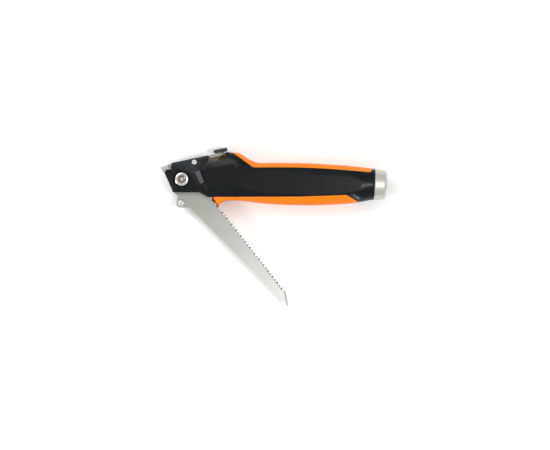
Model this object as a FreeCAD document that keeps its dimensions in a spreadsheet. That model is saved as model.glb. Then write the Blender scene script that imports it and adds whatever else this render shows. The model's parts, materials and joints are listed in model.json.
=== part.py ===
import FreeCAD, Part
import math
import os
import re

from FreeCAD import Vector

# A folding jab saw and retractable utility knife in one handle, with a striking cap on its butt.
# X runs to the butt, Y to the thumb slide and Z to the near side; the far panel lies on Z = 0.
# Outlines are drawn from the saw's pivot axis and each piece is then placed at pivot_x, pivot_y.
# Heights through the tool are measured from the centre frame's middle, at mid_plane.

SIZES = [
    ("pivot_x", -89.08, "saw pivot from the middle of the tool, along X"),
    ("pivot_y", 46.26, "saw pivot from the middle of the tool, along Y"),
    ("mid_plane", 15.2, "middle of the centre frame above the far panel"),
    ("half_thick", 15.2, "half the thickness of the grip"),
    ("head_half", 9.5, "half the thickness of the head"),
    ("edge_round", 0.7, "rounding of the head's edges"),
    ("part_line", 1.0, "near and far shells meet here"),
    ("saw_gap", 3.2, "near wall of the saw's channel"),
    ("frame_half", 1.0, "half the centre frame's thickness"),
    ("slide_floor", -5.2, "far wall of the blade carrier's slot"),
    ("cavity_depth", 12.4, "hollow of each shell, from the middle"),
    ("barrel_radius", 4.0, "pivot barrel"),
    ("barrel_top", 6.5, "near end of the pivot barrel"),
    ("thread_radius", 2.5, "pivot screw's thread"),
    ("pivot_head_radius", 7.3, "pivot screw's head"),
    ("pivot_head_top", 9.3, "crown of the pivot screw's head"),
    ("counterbore_radius", 8.1, "recess round the pivot screw's head"),
    ("running_gap", 0.05, "radial clearance of the saw on its barrel"),
    ("washer_radius", 7.0, "pivot washers"),
    ("washer_thick", 0.4, "pivot washers"),
    ("saw_low", 1.45, "far face of the saw blade"),
    ("saw_thick", 1.3, "saw blade"),
    ("saw_angle", -50.1, "saw blade's direction as it stands half open"),
    ("saw_reach", 160.6, "pivot to the point of the saw"),
    ("tang_radius", 12.4, "round end of the saw about the pivot"),
    ("tang_corner", 15.8, "corner of the saw's straight front edge, from the pivot"),
    ("tooth_depth", 2.7, "saw teeth"),
    ("stop_x", -11.79, "stop pin from the pivot, along X"),
    ("stop_y", 12.73, "stop pin from the pivot, along Y"),
    ("pin_radius", 1.4, "stop pin"),
    ("pin_bore", 0.75, "stop pin's hollow"),
    ("notch_radius", 1.6, "stop notch in the saw"),
    ("stud_x", 17.2, "thumb stud along the saw"),
    ("stud_y", -15.3, "thumb stud across the saw"),
    ("stud_radius", 3.5, "thumb stud's collar"),
    ("knob_radius", 2.2, "thumb stud's knob"),
    ("shank_radius", 1.5, "thumb stud's shank"),
    ("stud_top", 5.5, "crown of the thumb stud"),
    ("detent_x", -9.58, "detent ball from the pivot, along X"),
    ("detent_y", -3.49, "detent ball from the pivot, along Y"),
    ("detent_hole", 1.0, "radius of the saw's detent holes"),
    ("detent_proud", 0.35, "how far the ball stands out of its bore"),
    ("detent_coil", 1.05, "detent spring's mean radius"),
    ("detent_wire", 0.25, "detent spring's wire"),
    ("ball_radius", 1.5, "detent ball"),
    ("detent_top", 8.2, "closed end of the detent's bore"),
    ("slope", 11.3, "slide's slope, the head's top edge"),
    ("slope_y", 17.65, "head's top edge above the pivot"),
    ("blade_low", -2.5, "far face of the utility blade"),
    ("blade_thick", 0.6, "utility blade"),
    ("blade_long", 61.0, "utility blade's cutting edge"),
    ("blade_short", 33.0, "utility blade's back"),
    ("blade_high", 19.0, "utility blade's width"),
    ("blade_front", -13.5, "utility blade's point along the slope, drawn in"),
    ("blade_back", -2.6, "utility blade's back below the head's top edge"),
    ("slide_travel", 28.0, "travel of the thumb slide"),
    ("carrier_low", -5.0, "far face of the blade carrier"),
    ("stalk_low", -4.4, "far face of the slide's stalk"),
    ("stalk_high", -2.8, "near face of the slide's stalk"),
    ("leaf_low", -1.8, "far edge of the slide's leaf spring"),
    ("leaf_high", -1.2, "near edge of the slide's leaf spring"),
    ("thumb_half", 6.0, "half the width of the thumb button"),
    ("release_x", 12.3, "blade release button from the pivot, along X"),
    ("release_y", 16.4, "blade release button from the pivot, along Y"),
    ("release_radius", 2.5, "blade release button"),
    ("release_pin", 1.2, "blade release button's pin"),
    ("release_top", 9.9, "face of the blade release button"),
    ("release_step", 4.2, "shoulder of the blade release button"),
    ("release_coil", 1.75, "release spring's mean radius"),
    ("release_wire", 0.25, "release spring's wire"),
    ("release_tip", -0.2, "inner end of the blade release button"),
    ("cap_x", 186.6, "front of the striking cap from the pivot"),
    ("cap_y", -4.95, "axis of the striking cap from the pivot"),
    ("cap_angle", -3.0, "slope of the striking cap's axis"),
    ("cap_radius", 15.0, "striking cap"),
    ("cap_long", 12.2, "striking cap"),
    ("spigot_radius", 9.0, "striking cap's spigot"),
    ("flange_radius", 11.0, "flange that locks the spigot in the shells"),
    ("head_screw_top", 0.9, "near end of the head screws"),
    ("head_screw_sink", 2.2, "depth of the head screws' recesses"),
    ("head_screw_thick", 1.7, "heads of the head screws"),
    ("head_screw_radius", 1.25, "head screws"),
    ("handle_screw_top", 9.0, "near end of the handle screws"),
    ("handle_screw_radius", 1.4, "handle screws"),
    ("screw_head_radius", 2.8, "heads of all the case screws"),
    ("handle_screw_seat", -12.2, "seat of the handle screws' heads"),
    ("handle_screw_face", -14.2, "outer face of the handle screws' heads"),
    ("boss_radius", 3.9, "screw bosses inside the shells"),
    ("lip_long", 12.4, "raised lip on the head's near face"),
    ("lip_turn", 22.4, "slant of the raised lip"),
    ("scoop_wide", 60.0, "width of the cutter for the recess behind the lip"),
]

doc = FreeCAD.newDocument("folding_saw_knife")
sheet = doc.addObject("Spreadsheet::Sheet", "sizes")
pieces = []


def fill_sheet():
    for row, (alias, value, note) in enumerate(SIZES, start=1):
        sheet.set(f"A{row}", note)
        sheet.set(f"B{row}", str(value))
        sheet.setAlias(f"B{row}", alias)
    doc.recompute()


def size(alias):
    return float(sheet.get(alias))


def cells(formula):
    """A formula in the sheet's aliases, as an expression of the document."""
    return re.sub(r"[a-z]\w*", lambda word: "sizes." + word.group(), str(formula))


def level(height):
    """A height measured from the centre frame's middle."""
    return f"mid_plane + ({height})"


def place(piece, x=0, y=0, height=0, turn=0):
    spot = f"vector({cells(x)}; {cells(y)}; {cells(height)})"
    piece.setExpression("Placement", f"placement({spot}; rotation(vector(0; 0; 1); {cells(turn)}))")


def polar(radius, degrees):
    return (radius * math.cos(math.radians(degrees)), radius * math.sin(math.radians(degrees)))


def bearing(x_alias, y_alias):
    """Distance and direction of a point from the pivot."""
    x = size(x_alias)
    y = size(y_alias)
    return (math.hypot(x, y), math.degrees(math.atan2(y, x)))


# ---- sketches and simple solids ----

def arc(via, end):
    return ("arc", via, end)


def curve(*points):
    return ("curve", points)


def flat(point):
    return Vector(point[0], point[1], 0)


def draw(sketch, outline):
    """Closes an outline of points, arcs and curves; a plain point is the end of a straight run."""
    start = here = outline[0]
    for step in list(outline[1:]) + [start]:
        if step[0] == "arc":
            sketch.addGeometry(Part.Arc(flat(here), flat(step[1]), flat(step[2])))
            here = step[2]
        elif step[0] == "curve":
            spline = Part.BSplineCurve()
            spline.interpolate([flat(here)] + [flat(point) for point in step[1]])
            sketch.addGeometry(spline)
            here = step[1][-1]
        elif (flat(step) - flat(here)).Length > 1e-6:
            sketch.addGeometry(Part.LineSegment(flat(here), flat(step)))
            here = step


def sketch_on(body, plane, name, offset=0):
    sketch = body.newObject("Sketcher::SketchObject", name)
    support = [feature for feature in body.Origin.OriginFeatures if feature.Role == plane][0]
    sketch.AttachmentSupport = [(support, "")]
    sketch.MapMode = "FlatFace"
    sketch.setExpression(".AttachmentOffset.Base.z", cells(offset))
    return sketch


def slab(name, outline, low, high):
    """A flat outline padded between two heights from the frame's middle."""
    body = doc.addObject("PartDesign::Body", name)
    sketch = sketch_on(body, "XY_Plane", name + "_outline", level(low))
    draw(sketch, outline)
    pad = body.newObject("PartDesign::Pad", name + "_pad")
    pad.Profile = sketch
    pad.setExpression("Length", cells(f"({high}) - ({low})"))
    return body


def round_rims(body, rounding):
    """Rounds the edges round both flat faces of a slab."""
    doc.recompute()
    base = body.Tip
    rims = []
    for number, edge in enumerate(base.Shape.Edges, start=1):
        box = edge.BoundBox
        if box.ZLength < 1e-6:
            rims.append(f"Edge{number}")
    fillet = body.newObject("PartDesign::Fillet", body.Name + "_rims")
    fillet.Base = (base, rims)
    fillet.setExpression("Radius", cells(rounding))
    return body


def turned(name, profile, plane="XZ_Plane", axis="V_Axis"):
    """A profile of (radius, height) revolved about the upright axis, or drawn along another."""
    body = doc.addObject("PartDesign::Body", name)
    sketch = sketch_on(body, plane, name + "_profile")
    draw(sketch, profile)
    revolution = body.newObject("PartDesign::Revolution", name + "_turn")
    revolution.Profile = sketch
    revolution.ReferenceAxis = (sketch, [axis])
    revolution.Angle = 360
    return body


def rod(name, radius, low, high, x=0, y=0):
    cylinder = doc.addObject("Part::Cylinder", name)
    cylinder.setExpression("Radius", cells(radius))
    cylinder.setExpression("Height", cells(f"({high}) - ({low})"))
    place(cylinder, x, y, level(low))
    return cylinder


def socket(name, across, low, high, x=0, y=0):
    """A six-sided recess for a driver."""
    prism = doc.addObject("Part::Prism", name)
    prism.Polygon = 6
    prism.Circumradius = across / math.sqrt(3)
    prism.setExpression("Height", cells(f"({high}) - ({low})"))
    place(prism, x, y, level(low))
    return prism


def join(name, *solids):
    fused = doc.addObject("Part::MultiFuse", name)
    fused.Shapes = list(solids)
    return fused


def overlap(name, *solids):
    common = doc.addObject("Part::MultiCommon", name)
    common.Shapes = list(solids)
    return common


def cut(name, base, *tools):
    difference = doc.addObject("Part::Cut", name)
    difference.Base = base
    difference.Tool = tools[0] if len(tools) == 1 else join(name + "_tools", *tools)
    return difference


def group(name, solids):
    compound = doc.addObject("Part::Compound", name)
    compound.Links = solids
    return compound


def coil(name, radius, wire, low, high, turns):
    """A compression spring, its wire swept along a helix."""
    helix = doc.addObject("Part::Helix", name + "_helix")
    helix.setExpression("Radius", cells(radius))
    helix.setExpression("Height", cells(f"({high}) - ({low}) - 2 * {wire}"))
    helix.setExpression("Pitch", cells(f"(({high}) - ({low}) - 2 * {wire}) / {turns}"))
    ring = doc.addObject("Part::Circle", name + "_wire")
    ring.setExpression("Radius", cells(wire))
    upright = "rotation(vector(1; 0; 0); 90)"
    ring.setExpression("Placement", f"placement(vector({cells(radius)}; 0; 0); {upright})")
    sweep = doc.addObject("Part::Sweep", name)
    sweep.Sections = [ring]
    sweep.Spine = helix
    sweep.Solid = True
    sweep.Frenet = True
    return sweep


def keep(piece, label, x="pivot_x", y="pivot_y", height=0, turn=0):
    """Places a finished piece in the tool and gives it its name."""
    piece.Label = label
    place(piece, x, y, height, turn)
    pieces.append(piece)


def on_slope(solid):
    """Sets a solid drawn along the slide's slope into the head."""
    place(solid, 0, "slope_y", 0, "slope")
    return solid


def keep_on_slope(piece, label):
    keep(piece, label, "pivot_x", "pivot_y + slope_y", 0, "slope")


fill_sheet()

# ---- the outer form that the two shells and the orange grips share ----

FAR_OUT = "-half_thick - 5"
NEAR_OUT = "half_thick + 5"
NOSE_CORNER = (-9.9, 15.6)
HEAD = [
    NOSE_CORNER,
    (-10.0, 10.4),
    arc((-10.26, 9.76), (-10.9, 9.5)),
    (-13.2, 9.5),
    arc((-15.6, 8.2), (-16.0, 4.9)),
    (-8.6, -11.9),
    arc((-8.3, -12.45), (-7.7, -12.7)),
    (17.5, -12.7),
    (25.7, -17.3),
    (46.5, -17.3),
    (46.5, 26.0),
    (43.7, 26.0),
    (26.2, 23.1),
]
BEAK = [
    (24.6, -15.0),
    (29.3, -26.4),
    arc((30.9, -28.0), (33.0, -27.5)),
    (37.3, -23.5),
    curve((39.8, -21.9), (43.2, -20.7), (47.0, -20.3), (53.0, -20.2)),
    (53.0, -15.0),
]
# Stations of the grip: place along X, top, bottom, half width and squareness of the section.
STATIONS = [
    (12.0, 14.0, -9.0, 9.2, 3.0),
    (22.0, 20.6, -14.2, 9.9, 3.6),
    (32.0, 23.2, -16.8, 11.5, 3.8),
    (42.0, 25.2, -18.8, 13.4, 3.6),
    (50.0, 26.1, -20.2, 14.9, 3.3),
    (55.5, 25.3, -20.6, 15.6, 3.0),
    (61.0, 22.1, -21.2, 15.8, 3.0),
    (67.0, 18.5, -21.9, 15.8, 3.0),
    (74.0, 16.1, -22.8, 15.8, 3.0),
    (86.0, 15.8, -24.0, 15.8, 3.0),
    (105.0, 15.8, -24.9, 15.8, 3.0),
    (125.0, 15.4, -25.2, 15.8, 3.0),
    (145.0, 14.2, -24.6, 15.7, 2.9),
    (160.0, 13.2, -23.7, 15.7, 2.8),
    (171.0, 12.1, -22.4, 15.4, 2.5),
    (179.0, 11.1, -20.8, 14.6, 2.15),
    (188.6, 9.8, -19.8, 14.4, 2.0),
]
HALF_STEPS = 20


def rounded_half(top, bottom, half_width, squareness, side):
    """Half a superellipse from top to bottom, on the near side (1) or the far side (-1)."""
    middle = (top + bottom) / 2
    half_height = (top - bottom) / 2
    points = []
    for step in range(HALF_STEPS + 1):
        turn = math.pi * step / HALF_STEPS
        across = math.cos(turn)
        along = math.sin(turn)
        spread = abs(across / half_height) ** squareness + abs(along / half_width) ** squareness
        reach = spread ** (-1 / squareness)
        points.append(Vector(middle + reach * across, size("mid_plane") + side * reach * along, 0))
    outward = Vector(0, side, 0)
    half = Part.BSplineCurve()
    half.interpolate(points, InitialTangent=outward, FinalTangent=-outward)
    return half


def grip_loft():
    body = doc.addObject("PartDesign::Body", "grip_loft")
    sketches = []
    for number, (place_x, top, bottom, half_width, squareness) in enumerate(STATIONS):
        sketch = sketch_on(body, "YZ_Plane", f"station_{number}", place_x)
        for side in (1, -1):
            sketch.addGeometry(rounded_half(top, bottom, half_width, squareness, side))
        sketches.append(sketch)
    doc.recompute()
    loft = body.newObject("PartDesign::AdditiveLoft", "grip_skin")
    loft.Profile = sketches[0]
    loft.Sections = sketches[1:]
    return body


def wide(name, low, high):
    """A slab far larger than the tool, to part solids at a height."""
    return slab(name, [(-60, -60), (230, -60), (230, 60), (-60, 60)], low, high)


head_block = round_rims(slab("head_block", HEAD, "-head_half", "head_half"), "edge_round")
beak_block = round_rims(slab("beak_block", BEAK, "-head_half", "head_half"), "2 * edge_round")
tool_form = overlap(
    "tool_form",
    join("tool_bulk", head_block, grip_loft(), beak_block),
    wide("panel_planes", "-half_thick", "half_thick"))
near_form = overlap("near_form", tool_form, wide("near_side", "part_line", NEAR_OUT))
far_form = overlap("far_form", tool_form, wide("far_side", FAR_OUT, "part_line"))

# ---- regions and hollows that several pieces share ----

TOP_REGION = [
    (49.5, 40.0),
    (49.5, 25.5),
    (66.2, 13.4),
    arc((68.6, 11.8), (71.3, 11.25)),
    (99.0, 11.3),
    curve((114.5, 11.1), (145.5, 9.6), (181.0, 6.7)),
    arc((183.2, 8.0), (184.0, 12.0)),
    (184.0, 40.0),
]
LOW_BORDER = [(114.5, -17.0), (143.6, -16.1), (158.8, -15.5), (171.6, -22.6), (171.6, -45.0)]
LOW_REGION = [(10.0, -45.0), (10.0, -17.3), (26.2, -17.3)] + LOW_BORDER
NEAR_LOW_REGION = [(50.0, -45.0), (30.6, -17.3)] + LOW_BORDER
CHANNEL = [
    (-40.0, -60.0),
    (163.0, -60.0),
    (163.0, -11.5),
    (148.0, -4.2),
    (33.0, 9.8),
    (11.6, 11.3),
    arc((4.19, 15.65), (-5.54, 15.22)),
    (-5.54, 40.0),
    (-40.0, 40.0),
]
HOLLOW = [
    (88.0, 8.0),
    (112.0, 8.0),
    (150.0, 5.5),
    (161.0, 4.0),
    (161.0, -12.5),
    (112.0, -14.0),
    (84.0, -14.0),
    (84.0, 2.0),
]
WINDOW = [(25.7, 40.0), (25.7, 16.5), (42.2, 19.5), (42.2, 40.0)]
HANDLE_SCREWS = [(80.0, 7.0), (143.6, 5.0), (171.0, -2.0)]
HEAD_SCREWS = [(-1.5, -9.0), (24.0, -9.2)]

top_region = slab("top_region", TOP_REGION, FAR_OUT, NEAR_OUT)
low_region = slab("low_region", LOW_REGION, FAR_OUT, NEAR_OUT)
near_low_region = slab("near_low_region", NEAR_LOW_REGION, FAR_OUT, NEAR_OUT)
channel = slab("channel", CHANNEL, "part_line", "saw_gap")


def bosses(name, low, high):
    return join(name, *[
        rod(f"{name}_{number}", "boss_radius", low, high, x, y)
        for number, (x, y) in enumerate(HANDLE_SCREWS)])


SLOT_SPOT = (168.4, -16.7)
SLOT_SLANT = -31


def lanyard_slot(name):
    """A round-ended slot through the lower corner of the butt."""
    half_run = 3.2
    half_width = 1.15
    outline = [
        (-half_run, -half_width),
        (half_run, -half_width),
        arc((half_run + half_width, 0), (half_run, half_width)),
        (-half_run, half_width),
        arc((-half_run - half_width, 0), (-half_run, -half_width)),
    ]
    tool = slab(name, outline, FAR_OUT, NEAR_OUT)
    place(tool, SLOT_SPOT[0], SLOT_SPOT[1], 0, SLOT_SLANT)
    return tool


def slot_trough(name, low, high):
    """The hollow beside the grip's slanted end that the lanyard slot opens in."""
    outline = [(160.0, -15.9), (166.4, -13.2), (176.0, -18.6), (172.5, -23.6)]
    return slab(name, outline, low, high)


slot_hole = lanyard_slot("slot_hole")


SPIGOT = [
    (0.0, 0.0),
    (-9.0, 0.0),
    (-9.0, size("flange_radius")),
    (-6.6, size("flange_radius")),
    (-6.6, size("spigot_radius")),
    (0.0, size("spigot_radius")),
]


def cap_socket():
    """The hollow for the cap's spigot, and the plane that the shells end on."""
    profile = SPIGOT + [(0.0, 25.0), (8.0, 25.0), (8.0, 0.0)]
    tool = turned("cap_socket", profile, "XY_Plane", "H_Axis")
    place(tool, "cap_x", "cap_y", "mid_plane", "cap_angle")
    return tool


spigot_hole = cap_socket()


def handle_screw_holes(name):
    """Counterbores from the far side, clearance bores and threaded ends."""
    holes = []
    seat = "handle_screw_seat"
    for number, (x, y) in enumerate(HANDLE_SCREWS):
        holes.append(rod(f"{name}_sink_{number}", "screw_head_radius + 0.2", FAR_OUT, seat, x, y))
        holes.append(rod(f"{name}_bore_{number}", "handle_screw_radius", seat, "handle_screw_top", x, y))
    return join(name, *holes)


screw_holes = handle_screw_holes("screw_holes")

# ---- shells and grips ----

def scoop():
    """The shallow recess behind the lip: its floor rises towards the grip."""
    ramp = doc.addObject("PartDesign::Body", "scoop_ramp")
    sketch = sketch_on(ramp, "XZ_Plane", "scoop_floor")
    middle = size("mid_plane")
    draw(sketch, [
        (17.0, middle + 8.6),
        arc((34.0, middle + 10.7), (54.0, middle + 15.6)),
        (54.0, middle + 20.0),
        (17.0, middle + 20.0),
    ])
    pad = ramp.newObject("PartDesign::Pad", "scoop_ramp_pad")
    pad.Profile = sketch
    pad.setExpression("Length", cells("scoop_wide"))
    pad.SideType = "Symmetric"
    outline = [
        (18.7, 8.0),
        (23.0, 9.0),
        (41.7, 13.2),
        (52.0, 15.0),
        (52.0, -4.0),
        (22.9, -4.1),
        arc((21.6, -3.6), (21.2, -2.6)),
    ]
    return overlap("scoop", ramp, slab("scoop_outline", outline, "0", NEAR_OUT))


def lip():
    """The raised lip that the bare head ramps up to, in front of the recess."""
    body = doc.addObject("PartDesign::Body", "lip")
    sketch = sketch_on(body, "XZ_Plane", "lip_section")
    middle = size("mid_plane")
    draw(sketch, [
        (-2.4, middle + 8.5),
        (-2.4, middle + 9.5),
        (1.5, middle + 11.5),
        arc((1.9, middle + 11.5), (2.1, middle + 11.1)),
        (2.1, middle + 8.5),
    ])
    pad = body.newObject("PartDesign::Pad", "lip_pad")
    pad.Profile = sketch
    pad.setExpression("Length", cells("lip_long"))
    pad.SideType = "Symmetric"
    place(body, 18.0, 2.0, 0, "lip_turn")
    return body


def near_shell():
    hollow = cut("near_hollow", slab("near_hollow_block", HOLLOW, "part_line", "cavity_depth"),
                 bosses("near_bosses", "part_line", NEAR_OUT))
    bare = join("near_bare", cut("near_scooped", near_form, scoop()), lip())
    shell = cut(
        "near_shell", bare, top_region, low_region, channel, hollow, slot_hole,
        slot_trough("near_trough", "half_thick - 4", NEAR_OUT),
        spigot_hole, screw_holes,
        slab("near_window", WINDOW, "part_line", NEAR_OUT),
        rod("pivot_sink", "counterbore_radius", "barrel_top", NEAR_OUT),
        rod("pivot_bore", "barrel_radius", "part_line", "barrel_top"),
        rod("release_bore", "release_radius + 0.1", "part_line", NEAR_OUT, "release_x", "release_y"),
        rod("detent_bore", "ball_radius + 0.1", "saw_gap", "detent_top", "detent_x", "detent_y"))
    keep(shell, "near_shell")


def frame_outline():
    return [
        (-20.9, 11.4),
        (-16.05, 3.9),
        (-8.9, -12.3),
        (-7.4, -11.9),
        (17.2, -11.9),
        (26.0, -14.0),
        (75.0, -9.0),
        (75.0, 7.0),
        (68.0, 8.5),
        (50.0, 20.0),
        (43.0, 20.1),
        (42.4, 20.0),
        (25.2, 17.0),
        (24.6, 20.5),
        (-6.8, 14.4),
        (-9.9, 15.3),
        (-13.6, 14.0),
    ]


def carrier_slot(name, low, high, front, floor):
    """The slide's slot, drawn along its slope, with its upper rear corner cut off."""
    roof = size("blade_back") + 0.35
    outline = [(front, roof), (front, floor), (51.0, floor), (51.0, -9.0), (44.5, roof)]
    return on_slope(slab(name, outline, low, high))


def stalk_slot():
    front = 26.4 - size("slide_travel")
    outline = [(front, -8.0), (42.4, -8.0), (42.4, 4.0), (front, 4.0)]
    return on_slope(slab("stalk_slot", outline, "stalk_low - 0.2", "stalk_high + 0.2"))


blade_floor = size("blade_back") - size("blade_high") - 0.5
blade_slot = carrier_slot("blade_slot", "blade_low - 0.3", "-frame_half", -26.0, blade_floor)
slide_slot = carrier_slot("slide_slot", "slide_floor", "-frame_half", -9.6, blade_floor)
stalk_way = stalk_slot()


def detent_notches():
    """Notches in the slot's roof that hold the slide at each step."""
    notches = []
    for number in range(5):
        centre = 2.0 + 4.5 * number
        roof = size("blade_back") + 0.3
        outline = [(centre - 0.9, roof), (centre + 0.9, roof), (centre, roof + 0.8)]
        notches.append(on_slope(slab(f"slide_notch_{number}", outline, "leaf_low", "-frame_half")))
    return join("slide_notches", *notches)


def far_shell():
    hollow = cut("far_hollow", slab("far_hollow_block", HOLLOW, "-cavity_depth", "part_line"),
                 bosses("far_bosses", FAR_OUT, "part_line"),
                 *[slab(f"far_rib_{number}", [(x, -30), (x + 1.6, -30), (x + 1.6, 30), (x, 30)],
                        FAR_OUT, "part_line") for number, x in enumerate((102.0, 122.0, 152.0))])
    tools = [top_region, low_region, hollow, slot_hole, spigot_hole, screw_holes]
    tools.append(slot_trough("far_trough", FAR_OUT, "4 - half_thick"))
    tools.append(slab("frame_pocket", frame_outline(), "-frame_half", "part_line"))
    tools.append(slab("far_window", WINDOW, "stalk_high", "part_line"))
    tools += [blade_slot, slide_slot, stalk_way, detent_notches()]
    for number, (x, y) in enumerate(HEAD_SCREWS):
        tools.append(rod(f"head_sink_{number}", "screw_head_radius", FAR_OUT, "head_screw_sink - head_half",
                         x, y))
        tools.append(rod(f"head_bore_{number}", "head_screw_radius", FAR_OUT, "part_line", x, y))
    keep(cut("far_shell", far_form, *tools), "far_shell")


def grips():
    keep(overlap("top_grip", tool_form, top_region), "top_grip")
    near = cut("near_lower_grip", overlap("near_grip_bulk", near_form, near_low_region), channel)
    keep(near, "near_lower_grip")
    keep(overlap("far_lower_grip", far_form, low_region), "far_lower_grip")


def striking_cap():
    """A turned steel cap with rounded edges and a slightly domed face."""
    radius = size("cap_radius")
    long = size("cap_long")
    profile = SPIGOT + [
        (0.0, radius - 0.4),
        arc((0.12, radius - 0.12), (0.4, radius)),
        (8.6, radius - 0.9),
        arc((10.7, radius - 2.0), (long - 0.6, radius - 4.2)),
        arc((long - 0.2, radius - 7.0), (long, radius - 10.0)),
        (long, 0.0),
    ]
    cap = turned("striking_cap", profile, "XY_Plane", "H_Axis")
    keep(cap, "striking_cap", "pivot_x + cap_x", "pivot_y + cap_y", "mid_plane", "cap_angle")


# ---- frame and pivot ----

def centre_frame():
    through = ("-frame_half", "frame_half")
    tools = [
        rod("frame_pivot_hole", "barrel_radius", *through),
        rod("frame_pin_hole", "pin_radius", *through, "stop_x", "stop_y"),
        rod("frame_release_hole", "release_pin + 0.1", *through, "release_x", "release_y"),
    ]
    for number, (x, y) in enumerate(HEAD_SCREWS):
        tools.append(rod(f"frame_screw_hole_{number}", "head_screw_radius", *through, x, y))
    plate = slab("frame_plate", frame_outline(), "-frame_half", "frame_half")
    keep(cut("centre_frame", plate, *tools), "centre_frame")


def pivot():
    middle = size("mid_plane")
    barrel = cut("pivot_barrel", rod("barrel_rod", "barrel_radius", "-frame_half", "barrel_top"),
                 rod("barrel_thread", "thread_radius", "-frame_half", "barrel_top"))
    keep(barrel, "pivot_barrel")
    head = size("pivot_head_radius")
    seat = middle + size("barrel_top")
    crown = middle + size("pivot_head_top")
    profile = [
        (0.0, middle - 0.8),
        (size("thread_radius"), middle - 0.8),
        (size("thread_radius"), seat),
        (head, seat),
        (head, seat + 1.2),
        arc((head - 0.9, crown - 0.5), (head - 2.3, crown)),
        (4.3, crown),
        arc((3.6, crown - 0.75), (0.0, crown - 1.0)),
    ]
    keep(cut("pivot_screw", turned("pivot_screw_turned", profile),
             socket("pivot_socket", 5.0, "pivot_head_top - 2.3", "pivot_head_top")), "pivot_screw")
    for label, low in (("far_pivot_washer", "part_line"), ("near_pivot_washer", "saw_gap - washer_thick")):
        ring = cut(label, rod(label + "_disc", "washer_radius", low, f"{low} + washer_thick"),
                   rod(label + "_hole", "barrel_radius", low, f"{low} + washer_thick"))
        keep(ring, label)


def stop_pin():
    """A hollow roll pin pressed into the frame's nose."""
    pin = cut("stop_pin", rod("stop_pin_rod", "pin_radius", "-frame_half", "saw_gap"),
              rod("stop_pin_bore", "pin_bore", "-frame_half", "saw_gap"))
    keep(pin, "stop_pin", "pivot_x + stop_x", "pivot_y + stop_y")


def detent():
    spot = ("pivot_x + detent_x", "pivot_y + detent_y")
    ball = doc.addObject("Part::Sphere", "detent_ball")
    ball.setExpression("Radius", cells("ball_radius"))
    keep(ball, "detent_ball", *spot, level("saw_gap - detent_proud + ball_radius"))
    ball_top = "saw_gap - detent_proud + 2 * ball_radius"
    spring = coil("detent_spring", "detent_coil", "detent_wire", ball_top, "detent_top", 4)
    keep(spring, "detent_spring", *spot, level(f"{ball_top} + detent_wire"))


# ---- saw ----

TOOTH_COUNT = 32
TEETH_START = (31.9, 11.3)
TEETH_END = (146.7, 7.8)
TOOTH_LEAN = 0.68


def tooth_points():
    """Tooth by tooth from the saw's point back to its heel."""
    step_x = (TEETH_START[0] - TEETH_END[0]) / TOOTH_COUNT
    step_y = (TEETH_START[1] - TEETH_END[1]) / TOOTH_COUNT
    points = []
    for number in range(TOOTH_COUNT):
        x = TEETH_END[0] + step_x * number
        y = TEETH_END[1] + step_y * number
        points.append((x, y))
        points.append((x + step_x * (1 - TOOTH_LEAN), y - size("tooth_depth")))
    return points


STOP_SWING = -118.6
DETENT_SWINGS = (0.0, 45.0, -118.0)
FRONT_EDGE = (253.9, 293.9)


def saw_blade():
    """The saw drawn along its own X from the pivot, teeth on its +Y side."""
    stop_reach, stop_turn = bearing("stop_x", "stop_y")
    notch_turn = stop_turn - size("saw_angle") - STOP_SWING - 360
    notch = polar(stop_reach, notch_turn)
    away = size("notch_radius")
    inner = (notch[0] + polar(away, notch_turn + 180)[0], notch[1] + polar(away, notch_turn + 180)[1])
    outer = (notch[0] + polar(away, notch_turn + 60)[0], notch[1] + polar(away, notch_turn + 60)[1])
    side = (notch[0] + polar(away, notch_turn + 120)[0], notch[1] + polar(away, notch_turn + 120)[1])
    tang = size("tang_radius")
    outline = [
        polar(tang, 45),
        arc(polar(tang, 150), polar(tang, FRONT_EDGE[0])),
        polar(size("tang_corner"), FRONT_EDGE[1]),
        inner,
        arc(side, outer),
        (12.9, -17.4),
        (14.3, -18.7),
        arc((16.4, -20.1), (19.4, -19.3)),
        (25.0, -13.0),
        arc((26.3, -12.0), (28.4, -11.7)),
        (size("saw_reach"), 0.0),
    ] + tooth_points() + [TEETH_START, (30.6, 9.4), (28.0, 11.2)]
    plate = slab("saw_plate", outline, "saw_low", "saw_low + saw_thick")
    tools = [
        rod("saw_pivot_hole", "barrel_radius + running_gap", "saw_low", "saw_low + saw_thick"),
        rod("saw_stud_hole", "shank_radius", "saw_low", "saw_low + saw_thick", "stud_x", "stud_y"),
    ]
    detent_reach, detent_turn = bearing("detent_x", "detent_y")
    for number, swing in enumerate(DETENT_SWINGS):
        x, y = polar(detent_reach, detent_turn - size("saw_angle") - swing)
        tools.append(rod(f"saw_detent_{number}", "detent_hole", "saw_low", "saw_low + saw_thick", x, y))
    keep(cut("saw_blade", plate, *tools), "saw_blade", turn="saw_angle")


def saw_stud():
    middle = size("mid_plane")
    face = middle + size("saw_low") + size("saw_thick")
    collar = size("stud_radius")
    knob = size("knob_radius")
    top = middle + size("stud_top")
    profile = [
        (0.0, middle + size("saw_low")),
        (size("shank_radius"), middle + size("saw_low")),
        (size("shank_radius"), face),
        (collar, face),
        (collar, face + 0.35),
        (collar - 0.3, face + 0.65),
        (knob, face + 0.65),
        (knob, top - 0.8),
        arc((knob - 0.35, top - 0.2), (knob - 1.0, top)),
        (0.0, top),
    ]
    turn = math.radians(size("saw_angle"))
    spot_x = f"pivot_x + stud_x * {math.cos(turn):.6f} - stud_y * {math.sin(turn):.6f}"
    spot_y = f"pivot_y + stud_x * {math.sin(turn):.6f} + stud_y * {math.cos(turn):.6f}"
    keep(turned("saw_stud", profile), "saw_stud", spot_x, spot_y)


# ---- knife and its slide ----

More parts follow.
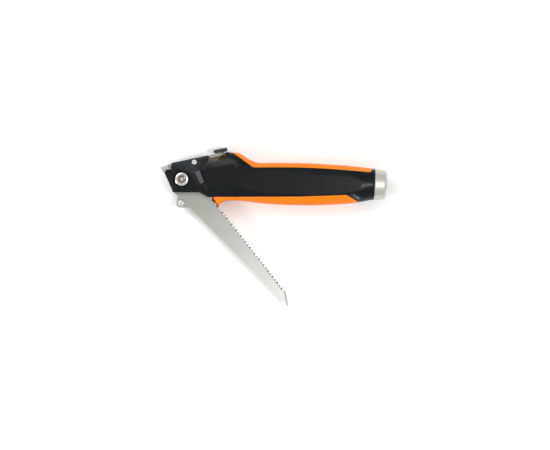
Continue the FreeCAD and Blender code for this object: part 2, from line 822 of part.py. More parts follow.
def utility_blade():
    front = size("blade_front")
    back = size("blade_back")
    edge = back - size("blade_high")
    inset = (size("blade_long") - size("blade_short")) / 2
    middle = front + size("blade_long") / 2
    outline = [(front, edge), (front + size("blade_long"), edge), (front + size("blade_long") - inset, back)]
    for notch in (middle + 4.75, middle - 4.75):
        outline += [
            (notch + 1.5, back),
            (notch + 1.5, back - 2.0),
            arc((notch, back - 3.5), (notch - 1.5, back - 2.0)),
            (notch - 1.5, back),
        ]
    outline.append((front + inset, back))
    keep_on_slope(slab("utility_blade", outline, "blade_low", "blade_low + blade_thick"), "utility_blade")


BUTTON_SEAT = 1.1


def blade_carrier():
    """A cast carrier with a lug in the blade's rear notch and a stalk up to the thumb button."""
    block_outline = [(19.0, -4.6), (19.0, -20.0), (48.6, -20.0), (48.6, -10.0), (43.5, -4.6)]
    lug_outline = [(20.5, -5.2), (23.0, -5.2), (23.0, -3.4), (20.5, -3.4)]
    stalk_outline = [
        (33.6, -8.0),
        (42.2, -8.0),
        (42.2, BUTTON_SEAT),
        (33.6, BUTTON_SEAT),
        (33.6, -0.6),
        (26.6, -0.6),
        (26.6, -2.1),
        (33.6, -2.1),
    ]
    block = slab("carrier_block", block_outline, "carrier_low", "blade_low - 0.05")
    lug = slab("carrier_lug", lug_outline, "stalk_low", "blade_low + blade_thick")
    stalk = slab("carrier_stalk", stalk_outline, "stalk_low", "stalk_high")
    keep_on_slope(join("blade_carrier", block, lug, stalk), "blade_carrier")


def thumb_button():
    """A rounded bar across the head's top edge, ribbed for the thumb."""
    left, right, low, high = 32.0, 45.4, BUTTON_SEAT, 4.5
    rounding = (high - low) / 2
    outline = [(left + rounding, low), (right - rounding, low),
               arc((right, low + rounding), (right - rounding, high))]
    rib_pitch = 1.65
    for number in range(6):
        groove = right - rounding - 0.4 - rib_pitch * number
        floor = high - 0.55
        outline += [(groove, high), (groove - 0.35, floor), (groove - 0.85, floor), (groove - 1.2, high)]
    outline += [(left + rounding, high), arc((left, low + rounding), (left + rounding, low))]
    keep_on_slope(slab("thumb_button", outline, "-thumb_half", "thumb_half"), "thumb_button")


def slider_spring():
    """A zigzag leaf of bronze strip on the near face of the carrier."""
    crests = [(26.8, -4.9), (29.6, -3.1), (32.4, -5.2), (35.6, -2.9), (38.8, -5.2), (41.4, -3.2)]
    strip = 0.55
    lower = [(u, v - strip) for u, v in reversed(crests)]
    keep_on_slope(slab("slider_spring", crests + lower, "leaf_low", "leaf_high"), "slider_spring")


def blade_release():
    middle = size("mid_plane")
    radius = size("release_radius")
    shaft = size("release_pin")
    step = middle + size("release_step")
    top = middle + size("release_top")
    profile = [
        (0.0, middle + size("release_tip")),
        (shaft, middle + size("release_tip")),
        (shaft, step),
        (radius, step),
        (radius, top - 0.5),
        arc((radius - 0.15, top - 0.15), (radius - 0.5, top)),
        (0.0, top),
    ]
    keep(turned("release_button", profile), "release_button", "pivot_x + release_x", "pivot_y + release_y")
    spring = coil("release_spring", "release_coil", "release_wire", "part_line", "release_step", 3)
    keep(spring, "release_spring", "pivot_x + release_x", "pivot_y + release_y",
         level("part_line + release_wire"))


# ---- case screws, all driven from the far side ----

def head_screws():
    middle = size("mid_plane")
    under = middle - size("head_half") + size("head_screw_sink")
    face = under - size("head_screw_thick")
    radius = size("screw_head_radius")
    profile = [
        (0.0, face),
        (radius, face),
        (radius, under),
        (size("head_screw_radius"), under),
        (size("head_screw_radius"), middle + size("head_screw_top")),
        (0.0, middle + size("head_screw_top")),
    ]
    screws = []
    for number, (x, y) in enumerate(HEAD_SCREWS):
        blank = turned(f"head_screw_blank_{number}", profile)
        rim = "head_screw_sink - head_half - head_screw_thick"
        recess = socket(f"head_screw_socket_{number}", 2.5, f"{rim} - 0.1", f"{rim} + 1.2")
        screw = cut(f"head_screw_{number}", blank, recess)
        place(screw, x, y)
        screws.append(screw)
    keep(group("head_screws", screws), "head_screws")


def handle_screws():
    middle = size("mid_plane")
    under = middle + size("handle_screw_seat")
    face = middle + size("handle_screw_face")
    profile = [
        (0.0, face),
        (size("screw_head_radius"), face),
        (size("screw_head_radius"), under),
        (size("handle_screw_radius"), under),
        (size("handle_screw_radius"), middle + size("handle_screw_top")),
        (0.0, middle + size("handle_screw_top")),
    ]
    screws = []
    for number, (x, y) in enumerate(HANDLE_SCREWS):
        blank = turned(f"handle_screw_blank_{number}", profile)
        recess = socket(f"handle_screw_socket_{number}", 2.5, "handle_screw_face - 0.1",
                        "handle_screw_face + 1.3")
        screw = cut(f"handle_screw_{number}", blank, recess)
        place(screw, x, y)
        screws.append(screw)
    keep(group("handle_screws", screws), "handle_screws")


def check_and_write():
    doc.recompute()
    for thing in doc.Objects:
        if "Invalid" in thing.State or "Error" in thing.State:
            raise RuntimeError(f"{thing.Name} failed: {thing.State}")
    os.makedirs("parts", exist_ok=True)
    for piece in pieces:
        shape = piece.Shape
        if shape.isNull() or not shape.isValid():
            raise RuntimeError(f"{piece.Label} has no sound shape")
        shape.exportStep(f"parts/{piece.Label}.step")
        print(f"{piece.Label}: {len(shape.Solids)} solid, {shape.Volume:.1f} cubic mm")


near_shell()
far_shell()
grips()
striking_cap()
centre_frame()
pivot()
stop_pin()
detent()
saw_blade()
saw_stud()
utility_blade()
blade_carrier()
thumb_button()
slider_spring()
blade_release()
head_screws()
handle_screws()
check_and_write()
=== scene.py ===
import json
import math

import bpy
import bmesh
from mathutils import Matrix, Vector
from mathutils.geometry import tessellate_polygon


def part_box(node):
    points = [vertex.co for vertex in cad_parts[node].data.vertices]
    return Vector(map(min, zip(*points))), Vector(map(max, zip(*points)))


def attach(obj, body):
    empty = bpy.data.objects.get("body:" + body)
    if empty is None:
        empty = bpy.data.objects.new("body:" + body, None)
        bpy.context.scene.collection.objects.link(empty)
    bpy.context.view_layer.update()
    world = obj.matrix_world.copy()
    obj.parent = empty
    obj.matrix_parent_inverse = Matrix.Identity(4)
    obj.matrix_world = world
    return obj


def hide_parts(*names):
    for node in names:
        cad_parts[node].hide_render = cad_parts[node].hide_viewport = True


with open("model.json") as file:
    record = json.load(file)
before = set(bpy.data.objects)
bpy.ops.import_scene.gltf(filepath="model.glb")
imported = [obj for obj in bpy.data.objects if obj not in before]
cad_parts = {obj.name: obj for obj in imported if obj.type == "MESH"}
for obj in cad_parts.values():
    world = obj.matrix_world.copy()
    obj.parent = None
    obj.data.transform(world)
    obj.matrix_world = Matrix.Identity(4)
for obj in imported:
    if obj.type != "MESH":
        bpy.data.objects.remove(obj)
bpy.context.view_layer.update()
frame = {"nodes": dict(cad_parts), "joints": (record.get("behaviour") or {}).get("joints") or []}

NODES = frame["nodes"]
JOINTS = {joint["name"]: joint for joint in frame["joints"]}
MM = 0.001


# ---- material building blocks ----

def new_material(name):
    material = bpy.data.materials.new(name)
    material.use_nodes = True
    return material


def shader_of(material):
    return material.node_tree.nodes["Principled BSDF"]


def add_node(material, kind, **settings):
    node = material.node_tree.nodes.new(kind)
    for key, value in settings.items():
        setattr(node, key, value)
    return node


def link(material, source, target):
    material.node_tree.links.new(source, target)


def coordinates(material, stretch=(1, 1, 1), turn=0.0):
    """Object coordinates in metres, stretched and turned about Z."""
    where = add_node(material, "ShaderNodeTexCoord")
    mapping = add_node(material, "ShaderNodeMapping")
    mapping.inputs["Scale"].default_value = stretch
    mapping.inputs["Rotation"].default_value = (0, 0, turn)
    link(material, where.outputs["Object"], mapping.inputs["Vector"])
    return mapping.outputs["Vector"]


def noise(material, vector, scale, detail=3.0, roughness=0.5):
    texture = add_node(material, "ShaderNodeTexNoise")
    texture.inputs["Scale"].default_value = scale
    texture.inputs["Detail"].default_value = detail
    texture.inputs["Roughness"].default_value = roughness
    link(material, vector, texture.inputs["Vector"])
    return texture.outputs["Fac"]


def spread(material, value, low, high, start=0.3, end=0.7):
    """Maps a texture's middle range on to the numbers low to high."""
    remap = add_node(material, "ShaderNodeMapRange")
    remap.inputs["From Min"].default_value = start
    remap.inputs["From Max"].default_value = end
    remap.inputs["To Min"].default_value = low
    remap.inputs["To Max"].default_value = high
    link(material, value, remap.inputs["Value"])
    return remap.outputs["Result"]


def two_tones(material, value, dark, light, start=0.3, end=0.7):
    ramp = add_node(material, "ShaderNodeValToRGB")
    ramp.color_ramp.elements[0].position = start
    ramp.color_ramp.elements[0].color = (*dark, 1)
    ramp.color_ramp.elements[1].position = end
    ramp.color_ramp.elements[1].color = (*light, 1)
    link(material, value, ramp.inputs["Fac"])
    return ramp.outputs["Color"]


def blend(material, amount, base, top):
    """Mixes top, a plain colour or another node's output, over base."""
    mix = add_node(material, "ShaderNodeMix", data_type="RGBA")
    link(material, amount, mix.inputs["Factor"])
    link(material, base, mix.inputs["A"])
    if isinstance(top, tuple):
        mix.inputs["B"].default_value = (*top, 1)
    else:
        link(material, top, mix.inputs["B"])
    return mix.outputs["Result"]


def bump(material, height, strength, distance):
    node = add_node(material, "ShaderNodeBump")
    node.inputs["Strength"].default_value = strength
    node.inputs["Distance"].default_value = distance
    link(material, height, node.inputs["Height"])
    link(material, node.outputs["Normal"], shader_of(material).inputs["Normal"])


def painted_edge_highlight(material, base, highlight, amount):
    """Lightens convex edges: a painted highlight along the edges."""
    geometry = add_node(material, "ShaderNodeNewGeometry")
    edge = spread(material, geometry.outputs["Pointiness"], 0.0, amount, 0.53, 0.62)
    return blend(material, edge, base, highlight)


# ---- the tool's materials ----

def black_plastic():
    """Charcoal nylon with a fine spark-eroded grain."""
    material = new_material("black_plastic")
    shader = shader_of(material)
    where = coordinates(material)
    clouds = noise(material, where, 60, 4)
    grain = noise(material, where, 2600, 2, 0.6)
    colour = two_tones(material, clouds, (0.002, 0.0038, 0.0043), (0.0044, 0.0064, 0.0071))
    # convex edges lightened: painted edge highlight
    link(material, painted_edge_highlight(material, colour, (0.05, 0.055, 0.06), 0.5), shader.inputs["Base Color"])
    link(material, spread(material, grain, 0.25, 0.33), shader.inputs["Roughness"])
    shader.inputs["Specular IOR Level"].default_value = 0.17
    bump(material, grain, 0.35, 0.00006)
    return material


def orange_rubber():
    """Soft orange elastomer, satin, with a faint mottled skin."""
    material = new_material("orange_rubber")
    shader = shader_of(material)
    where = coordinates(material)
    clouds = noise(material, where, 45, 3)
    grain = noise(material, where, 3200, 2, 0.55)
    colour = two_tones(material, clouds, (0.84, 0.188, 0.001), (0.89, 0.215, 0.002))
    # convex edges lightened: painted edge highlight
    link(material, painted_edge_highlight(material, colour, (0.95, 0.36, 0.08), 0.35), shader.inputs["Base Color"])
    link(material, spread(material, grain, 0.36, 0.5), shader.inputs["Roughness"])
    shader.inputs["Specular IOR Level"].default_value = 0.18
    bump(material, grain, 0.25, 0.00004)
    return material


def ground_steel(name, dark, light, roughness, stretch, turn=0.0, painted_sheen=None):
    """Bare steel with grinding lines along one direction and, if asked, a painted reflection that brightens
    it towards one end.
    """
    material = new_material(name)
    shader = shader_of(material)
    lines = noise(material, coordinates(material, stretch, turn), 900, 4, 0.65)
    stains = noise(material, coordinates(material), 35, 5, 0.6)
    colour = two_tones(material, stains, dark, light)
    if painted_sheen:
        # painted reflection: the colour lightens along the given direction
        direction, start, end, sheen_colour = painted_sheen
        along = add_node(material, "ShaderNodeVectorMath", operation="DOT_PRODUCT")
        along.inputs[1].default_value = direction
        link(material, coordinates(material), along.inputs[0])
        amount = spread(material, along.outputs["Value"], 0.0, 1.0, start, end)
        colour = blend(material, amount, colour, sheen_colour)
    link(material, colour, shader.inputs["Base Color"])
    shader.inputs["Metallic"].default_value = 1.0
    low, high = roughness
    link(material, spread(material, lines, low, high), shader.inputs["Roughness"])
    bump(material, lines, 0.25, 0.00003)
    return material


def painted_ring_shade(material, vector, base, colour, inner, outer, blur):
    """Darkens a ring round the Z axis: painted shade in a recess."""
    across = add_node(material, "ShaderNodeVectorMath", operation="MULTIPLY")
    across.inputs[1].default_value = (1, 1, 0)
    link(material, vector, across.inputs[0])
    length = add_node(material, "ShaderNodeVectorMath", operation="LENGTH")
    link(material, across.outputs["Vector"], length.inputs[0])
    within = spread(material, length.outputs["Value"], 1.0, 0.0, outer - blur, outer + blur)
    beyond = spread(material, length.outputs["Value"], 0.0, 1.0, inner - blur, inner + blur)
    ring = add_node(material, "ShaderNodeMath", operation="MULTIPLY")
    link(material, within, ring.inputs[0])
    link(material, beyond, ring.inputs[1])
    return blend(material, ring.outputs["Value"], base, colour)


def turned_metal(name, dark, light, roughness, centre, axis, ring_size, recess_shade=None):
    """Metal turned on a lathe: fine rings about an axis through centre."""
    material = new_material(name)
    shader = shader_of(material)
    where = add_node(material, "ShaderNodeTexCoord")
    mapping = add_node(material, "ShaderNodeMapping", vector_type="POINT")
    mapping.inputs["Location"].default_value = [-value for value in centre]
    link(material, where.outputs["Object"], mapping.inputs["Vector"])
    rings = add_node(material, "ShaderNodeTexWave", wave_type="RINGS", rings_direction=axis)
    rings.inputs["Scale"].default_value = 1 / (ring_size * WAVE_FACTOR)
    rings.inputs["Distortion"].default_value = 0.6
    rings.inputs["Detail"].default_value = 2.0
    rings.inputs["Detail Scale"].default_value = 2.0
    link(material, mapping.outputs["Vector"], rings.inputs["Vector"])
    stains = noise(material, coordinates(material), 50, 5, 0.6)
    colour = two_tones(material, stains, dark, light)
    # painted shade: a brown ring darkens the screw's recess
    if recess_shade:
        colour = painted_ring_shade(material, mapping.outputs["Vector"], colour, *recess_shade)
    link(material, colour, shader.inputs["Base Color"])
    shader.inputs["Metallic"].default_value = 1.0
    low, high = roughness
    link(material, spread(material, stains, low, high), shader.inputs["Roughness"])
    bump(material, rings.outputs["Fac"], 0.12, 0.00003)
    return material


def plain_metal(name, dark, light, roughness, grain_scale, depth):
    """Cast, drawn or plated metal with an even fine grain."""
    material = new_material(name)
    shader = shader_of(material)
    where = coordinates(material)
    stains = noise(material, where, 120, 4)
    grain = noise(material, where, grain_scale, 3, 0.6)
    link(material, two_tones(material, stains, dark, light), shader.inputs["Base Color"])
    shader.inputs["Metallic"].default_value = 1.0
    low, high = roughness
    link(material, spread(material, grain, low, high), shader.inputs["Roughness"])
    bump(material, grain, 0.3, depth)
    return material


def smooth_plastic(name, dark, light, roughness):
    material = new_material(name)
    shader = shader_of(material)
    where = coordinates(material)
    clouds = noise(material, where, 150, 3)
    grain = noise(material, where, 2500, 2)
    link(material, two_tones(material, clouds, dark, light), shader.inputs["Base Color"])
    low, high = roughness
    link(material, spread(material, grain, low, high), shader.inputs["Roughness"])
    bump(material, grain, 0.2, 0.00003)
    return material


def casting_with_painted_shade():
    """A cast carrier, bare metal where its stalk rises above the head and painted dark brown shade below it,
    inside the window.
    """
    material = new_material("carrier_metal")
    shader = shader_of(material)
    where = coordinates(material)
    stains = noise(material, where, 260, 4)
    grain = noise(material, where, 1800, 3, 0.6)
    bright = two_tones(material, stains, (0.42, 0.40, 0.36), (0.56, 0.54, 0.5))
    # painted shade: dark brown below the head's top edge, bare metal above
    shade_brown = two_tones(material, stains, (0.018, 0.013, 0.008), (0.055, 0.042, 0.028))
    height = add_node(material, "ShaderNodeVectorMath", operation="DOT_PRODUCT")
    height.inputs[1].default_value = SLIDE_UP
    link(material, add_node(material, "ShaderNodeTexCoord").outputs["Object"], height.inputs[0])
    edge = SLIDE_TOP.dot(SLIDE_UP)
    full_shade_level = edge - FULL_SHADE_DEPTH * MM
    no_shade_level = edge - NO_SHADE_DEPTH * MM
    above = spread(material, height.outputs["Value"], 0.0, 1.0, full_shade_level, no_shade_level)
    link(material, blend(material, above, shade_brown, bright), shader.inputs["Base Color"])
    shader.inputs["Metallic"].default_value = 0.85
    link(material, spread(material, grain, 0.38, 0.58), shader.inputs["Roughness"])
    bump(material, grain, 0.3, 0.00004)
    return material


def middle_of(node):
    low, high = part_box(node)
    return [(low[axis] + high[axis]) / 2 for axis in range(3)]


PIVOT = Vector(JOINTS["saw_fold"]["pos_m"])
SAW_TURN = math.radians(50.1)
SLIDE_TURN = math.radians(11.3)
SAW_ALONG = Vector((math.cos(SAW_TURN), -math.sin(SAW_TURN), 0))
SLIDE_TOP = PIVOT + Vector((0, 17.65 * MM, 0))
SLIDE_UP = Vector((-math.sin(SLIDE_TURN), math.cos(SLIDE_TURN), 0))
FULL_SHADE_DEPTH = 2.6    # mm below the head's top edge, where the carrier's painted shade is full
NO_SHADE_DEPTH = 1.2    # and where the painted shade ends
WAVE_FACTOR = 20     # the wave texture scales its distances by this
FINE_GRAIN = 3000

# painted reflection along the saw: direction, where the brighter steel starts and ends, and its colour
SAW_PAINTED_SHEEN = (SAW_ALONG, SAW_ALONG.dot(PIVOT) + 0.03, SAW_ALONG.dot(PIVOT) + 0.17, (0.6, 0.61, 0.58))
# painted shade in the screw's recess: colour, inner and outer radius and blur in metres
SCREW_RECESS_SHADE = ((0.16, 0.11, 0.075), 0.0017, 0.0035, 0.0007)

MATERIALS = {
    "near_shell": black_plastic(),
    "top_grip": orange_rubber(),
    "striking_cap": turned_metal(
        "cap_metal", (0.56, 0.545, 0.51), (0.65, 0.635, 0.6), roughness=(0.4, 0.5),
        centre=middle_of("striking_cap"), axis="X", ring_size=0.0006),
    "centre_frame": ground_steel(
        "frame_steel", (0.40, 0.39, 0.365), (0.50, 0.49, 0.46), roughness=(0.28, 0.42), stretch=(1, 14, 1)),
    "pivot_screw": turned_metal(
        "bright_steel", (0.66, 0.65, 0.62), (0.8, 0.79, 0.77), roughness=(0.16, 0.3),
        centre=PIVOT, axis="Z", ring_size=0.0004, recess_shade=SCREW_RECESS_SHADE),
    "release_button": plain_metal(
        "button_steel", (0.46, 0.46, 0.43), (0.58, 0.58, 0.55), roughness=(0.3, 0.42),
        grain_scale=FINE_GRAIN, depth=0.00002),
    "stop_pin": plain_metal(
        "dark_steel", (0.03, 0.027, 0.024), (0.07, 0.06, 0.055), roughness=(0.35, 0.5),
        grain_scale=FINE_GRAIN, depth=0.00002),
    "release_spring": plain_metal(
        "spring_steel", (0.4, 0.4, 0.4), (0.55, 0.55, 0.54), roughness=(0.25, 0.4),
        grain_scale=FINE_GRAIN, depth=0.00001),
    # the saw's steel brightens towards its point: a painted reflection
    "saw_blade": ground_steel(
        "saw_steel", (0.27, 0.275, 0.25), (0.335, 0.342, 0.312), roughness=(0.36, 0.52),
        stretch=(1, 18, 1), turn=SAW_TURN, painted_sheen=SAW_PAINTED_SHEEN),
    "saw_ground": ground_steel(
        "saw_ground", (0.5, 0.5, 0.48), (0.68, 0.68, 0.66), roughness=(0.14, 0.26),
        stretch=(16, 1, 1), turn=SAW_TURN),
    # near-black steel on one bevel facet of alternate teeth: painted shade
    "tooth_painted_shade": ground_steel(
        "tooth_painted_shade", (0.02, 0.019, 0.018), (0.07, 0.066, 0.06), roughness=(0.3, 0.45),
        stretch=(16, 1, 1), turn=SAW_TURN),
    "utility_blade": ground_steel(
        "blade_steel", (0.10, 0.10, 0.094), (0.17, 0.17, 0.16), roughness=(0.25, 0.4),
        stretch=(1, 12, 1), turn=-SLIDE_TURN),
    "knife_ground": ground_steel(
        "knife_ground", (0.5, 0.5, 0.49), (0.66, 0.66, 0.65), roughness=(0.12, 0.24),
        stretch=(12, 1, 1), turn=-SLIDE_TURN),
    "blade_carrier": casting_with_painted_shade(),
    "thumb_button": smooth_plastic(
        "button_plastic", (0.003, 0.003, 0.003), (0.007, 0.0065, 0.0065), roughness=(0.35, 0.5)),
    "slider_spring": plain_metal(
        "bronze_strip", (0.22, 0.12, 0.05), (0.34, 0.2, 0.085), roughness=(0.3, 0.45),
        grain_scale=2500, depth=0.00001),
    "near_pivot_washer": smooth_plastic(
        "washer_nylon", (0.62, 0.62, 0.58), (0.72, 0.72, 0.68), roughness=(0.4, 0.5)),
}

# nodes that look like another one
SAME_AS = {
    "far_shell": "near_shell",
    "near_lower_grip": "top_grip",
    "far_lower_grip": "top_grip",
    "pivot_barrel": "pivot_screw",
    "detent_ball": "pivot_screw",
    "saw_stud": "pivot_screw",
    "head_screws": "stop_pin",
    "handle_screws": "stop_pin",
    "detent_spring": "release_spring",
    "far_pivot_washer": "near_pivot_washer",
}


def dress_nodes():
    for name, node in NODES.items():
        material = MATERIALS[SAME_AS.get(name, name)]
        node.data.materials.clear()
        node.data.materials.append(material)


# ---- plates with ground edges, cut again from the flat CAD blades ----

def flat_loops(node, turn):
    """Outlines of a flat node's near face in mm about the pivot, turned into its own frame.

    Each runs with the metal on its left, and the outer one comes first.
    """
    onward = {}
    cosine = math.cos(turn)
    sine = math.sin(turn)
    low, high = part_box(node.name)
    middle = (low[2] + high[2]) / 2
    spots = []
    for vertex in node.data.vertices:
        where = node.matrix_world @ vertex.co
        x = (where.x - PIVOT.x) / MM
        y = (where.y - PIVOT.y) / MM
        spots.append((round(x * cosine + y * sine, 3), round(y * cosine - x * sine, 3), where.z > middle))
    pairs = set()
    for face in node.data.polygons:
        corners = [spots[index] for index in face.vertices]
        if all(corner[2] for corner in corners):
            for here, there in zip(corners, corners[1:] + corners[:1]):
                pairs.add((here[:2], there[:2]))
    for here, there in pairs:
        if (there, here) not in pairs and here != there:
            onward[here] = there
    loops = []
    while onward:
        start = min(onward)
        loop = [start]
        here = onward.pop(start)
        while here != start:
            loop.append(here)
            here = onward.pop(here)
        loops.append(loop)
    return sorted(loops, key=lambda loop: -abs(signed_area(loop)))


def signed_area(loop):
    return sum(a[0] * b[1] - b[0] * a[1] for a, b in zip(loop, loop[1:] + loop[:1])) / 2


def between(a, b, share):
    return (a[0] + (b[0] - a[0]) * share, a[1] + (b[1] - a[1]) * share)


# numbers of a plate's materials, in the order build() is given them
FLAT = 0
GROUND = 1
SHADE_FACET = 2


class Plate:
    """A flat plate whose rim points may leave its two faces, to make ground edges."""

    def __init__(self, node, turn):
        low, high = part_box(node.name)
        self.far = low[2] / MM
        self.near = high[2] / MM
        self.turn = turn
        self.points = []
        self.rim = []
        self.core = []
        self.facets = []

    def add(self, spot, near_drop=0.0, far_lift=0.0, rim=True, core=True):
        """A point of both faces; rim points bound the plate, and core ones its flat middle too."""
        index = len(self.points)
        self.points.append((spot[0], spot[1], self.near - near_drop, self.far + far_lift))
        if rim:
            self.rim.append(index)
        if rim and core:
            self.core.append(index)
        return index

    def facet(self, corners, near_skin=GROUND, far_skin=GROUND):
        """A ground face outside the flat middle, with the numbers of its materials on the two sides."""
        self.facets.append((corners, near_skin, far_skin))

    def build(self, name, holes, skins):
        """Makes the object, skins being the MATERIALS keys of its flat, ground and painted-shade faces."""
        rims = [self.rim]
        cores = [self.core]
        for hole in holes:
            ring = [self.add(spot, rim=False) for spot in hole]
            rims.append(ring)
            cores.append(ring)
        form = bmesh.new()
        cosine = math.cos(self.turn)
        sine = math.sin(self.turn)
        near = []
        far = []
        for x, y, top, bottom in self.points:
            row_x = PIVOT.x + (x * cosine - y * sine) * MM
            row_y = PIVOT.y + (x * sine + y * cosine) * MM
            near.append(form.verts.new((row_x, row_y, top * MM)))
            far.append(form.verts.new((row_x, row_y, bottom * MM)))
        flat = [index for ring in cores for index in ring]
        outlines = [[Vector((*self.points[index][:2], 0)) for index in ring] for ring in cores]
        faces = list(self.facets)
        for triangle in tessellate_polygon(outlines):
            corners = [flat[number] for number in triangle]
            if signed_area([self.points[index][:2] for index in corners]) < 0:
                corners.reverse()
            faces.append((corners, FLAT, FLAT))
        for corners, near_skin, far_skin in faces:
            form.faces.new([near[index] for index in corners]).material_index = near_skin
            form.faces.new([far[index] for index in reversed(corners)]).material_index = far_skin
        for ring in rims:
            for here, there in zip(ring, ring[1:] + ring[:1]):
                form.faces.new((far[here], far[there], near[there], near[here]))
        mesh = bpy.data.meshes.new(name)
        form.to_mesh(mesh)
        form.free()
        for skin in skins:
            mesh.materials.append(MATERIALS[skin])
        plate = bpy.data.objects.new(name, mesh)
        bpy.context.scene.collection.objects.link(plate)
        return plate


# sizes of the ground edges in mm, except TOOTH_REACH and POINT_BEVEL, which are shares of a length
TOOTH_LINE = ((31.9, 11.3), (146.7, 7.8))
TIP_ALONG = 0.2      # a tooth's tip may lie this far past the line's ends
TIP_ACROSS = 0.3     # and this far off the line
TOOTH_REACH = 0.4
TOOTH_GRIND = 0.95
TOOTH_SET = 0.12
POINT_GRIND = 0.8
POINT_BEVEL = 0.45
KNIFE_BEVEL = 1.6
KNIFE_EDGE = 0.03
SAME_LEVEL = 0.05


def on_tooth_line(spot):
    (heel_x, heel_y), (end_x, end_y) = TOOTH_LINE
    rise = (end_y - heel_y) / (end_x - heel_x)
    inside = heel_x - TIP_ALONG < spot[0] < end_x + TIP_ALONG
    return inside and abs(heel_y + rise * (spot[0] - heel_x) - spot[1]) < TIP_ACROSS


def gap(start, end, spot):
    """Distance of a spot from the line through start and end."""
    along = (end[0] - start[0], end[1] - start[1])
    over = (spot[0] - start[0], spot[1] - start[1])
    return abs(along[0] * over[1] - along[1] * over[0]) / math.hypot(*along)


def starting_at(loop, spot):
    """The same loop, begun at one of its spots."""
    start = loop.index(spot)
    return loop[start:] + loop[:start]


def ground_saw():
    """The saw with each tooth ground to a point from alternate sides and set a little outwards."""
    node = NODES["saw_blade"]
    outer, *holes = flat_loops(node, -SAW_TURN)
    outer = starting_at(outer, max(outer, key=lambda spot: spot[0]))
    point, last_tip = outer[0], outer[1]
    plate = Plate(node, -SAW_TURN)
    ground = [
        plate.add(point, POINT_GRIND, core=False),
        plate.add(last_tip, POINT_GRIND, core=False),
        plate.add(between(last_tip, outer[2], POINT_BEVEL)),
    ]
    index = 2
    teeth = 0
    while index < len(outer):
        spot = outer[index]
        if on_tooth_line(spot):
            teeth += 1
            from_near = teeth % 2 == 1
            before = plate.core[-1]
            tip = plate.add(spot, TOOTH_GRIND if from_near else -TOOTH_SET,
                            -TOOTH_SET if from_near else TOOTH_GRIND, core=False)
            after = plate.add(outer[index + 1])
            root = between(outer[index - 1], outer[index + 1], 0.5)
            heart = plate.add(between(root, spot, TOOTH_REACH), rim=False)
            plate.facet([before, tip, heart])
            # painted shade: the facet ground from this side gets the near-black skin
            skins = (SHADE_FACET, GROUND) if from_near else (GROUND, SHADE_FACET)
            plate.facet([tip, after, heart], *skins)
            plate.facet([before, heart, after])
            index += 2
        else:
            plate.add(spot)
            index += 1
    bevel = gap(point, last_tip, plate.points[ground[2]])
    back = outer[-1]
    ground.insert(0, plate.add(between(point, back, bevel / gap(point, last_tip, back))))
    plate.facet(ground)
    saw = plate.build("ground_saw_blade", holes, ("saw_blade", "saw_ground", "tooth_painted_shade"))
    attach(saw, "saw")
    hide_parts("saw_blade")


def ground_knife():
    """The utility blade with its cutting edge ground from both faces."""
    node = NODES["utility_blade"]
    outer, *holes = flat_loops(node, SLIDE_TURN)
    lowest = min(spot[1] for spot in outer)
    corners = [spot for spot in outer if spot[1] < lowest + SAME_LEVEL]
    first = min(corners)
    last = max(corners)
    outer = starting_at(outer, first)
    half = (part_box(node.name)[1][2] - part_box(node.name)[0][2]) / MM / 2 - KNIFE_EDGE
    plate = Plate(node, SLIDE_TURN)
    rise_share = KNIFE_BEVEL / (outer[2][1] - lowest)
    fall_share = KNIFE_BEVEL / (outer[-1][1] - lowest)
    ground = [
        plate.add(first, half, half, core=False),
        plate.add(last, half, half, core=False),
        plate.add(between(last, outer[2], rise_share)),
    ]
    for spot in outer[2:]:
        plate.add(spot)
    ground.insert(0, plate.add(between(first, outer[-1], fall_share)))
    plate.facet(ground)
    knife = plate.build("ground_utility_blade", holes, ("utility_blade", "knife_ground"))
    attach(knife, "slider")
    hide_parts("utility_blade")


# ---- floor, light and camera ----

VIEW_WIDTH = 0.5335
CAMERA_LENS = 100.0
SENSOR = 36.0
CAMERA_HEIGHT = VIEW_WIDTH * CAMERA_LENS / SENSOR
VIEW_CENTRE = PIVOT + Vector((0.0902, -0.0443, 0.0))
NEAR_CLIP = 0.05
FLOOR_SIZE = 1.6
WORLD_LIGHT = 0.7
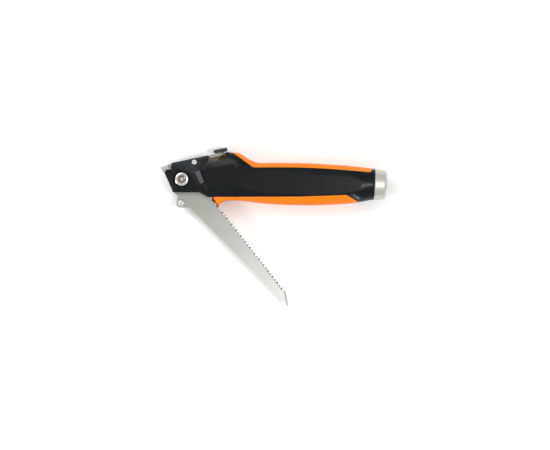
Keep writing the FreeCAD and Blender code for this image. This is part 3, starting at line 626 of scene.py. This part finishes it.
# name, place, diameter in metres, watts, and the place it faces
LIGHTS = (
    ("key", (-0.55, 0.75, 1.2), 0.9, 7, (0, 0, 0)),
    ("left", (-1.25, -0.45, 0.95), 0.5, 8, (-0.06, 0.03, 0)),
    ("overhead", (0.40, -0.04, 1.3), 0.16, 4.5, (0.08, 0.04, 0)),
)


def studio():
    mesh = bpy.data.meshes.new("floor")
    form = bmesh.new()
    bmesh.ops.create_grid(form, x_segments=8, y_segments=8, size=FLOOR_SIZE)
    form.to_mesh(mesh)
    form.free()
    floor = bpy.data.objects.new("floor", mesh)
    bpy.context.scene.collection.objects.link(floor)
    material = new_material("floor_paper")
    shader = shader_of(material)
    grain = noise(material, coordinates(material), 400, 3)
    paper = two_tones(material, grain, (0.93, 0.93, 0.93), (0.96, 0.96, 0.96))
    link(material, paper, shader.inputs["Base Color"])
    shader.inputs["Roughness"].default_value = 0.95
    shader.inputs["Specular IOR Level"].default_value = 0.1
    mesh.materials.append(material)


def area_light(name, spot, size, power, target):
    data = bpy.data.lights.new(name, "AREA")
    data.shape = "DISK"
    data.size = size
    data.energy = power
    light = bpy.data.objects.new(name, data)
    light.location = spot
    light.rotation_euler = (Vector(target) - Vector(spot)).to_track_quat("-Z", "Y").to_euler()
    bpy.context.scene.collection.objects.link(light)


def lights_and_camera():
    world = bpy.data.worlds.new("studio")
    world.use_nodes = True
    world.node_tree.nodes["Background"].inputs["Color"].default_value = (1, 1, 1, 1)
    world.node_tree.nodes["Background"].inputs["Strength"].default_value = WORLD_LIGHT
    bpy.context.scene.world = world
    for light in LIGHTS:
        area_light(*light)
    bpy.context.scene.view_settings.view_transform = "Standard"
    data = bpy.data.cameras.new("camera")
    data.lens = CAMERA_LENS
    data.sensor_width = SENSOR
    data.clip_start = NEAR_CLIP
    camera = bpy.data.objects.new("camera", data)
    camera.location = VIEW_CENTRE + Vector((0, 0, CAMERA_HEIGHT))
    bpy.context.scene.collection.objects.link(camera)
    bpy.context.scene.camera = camera


dress_nodes()
ground_saw()
ground_knife()
studio()
lights_and_camera()
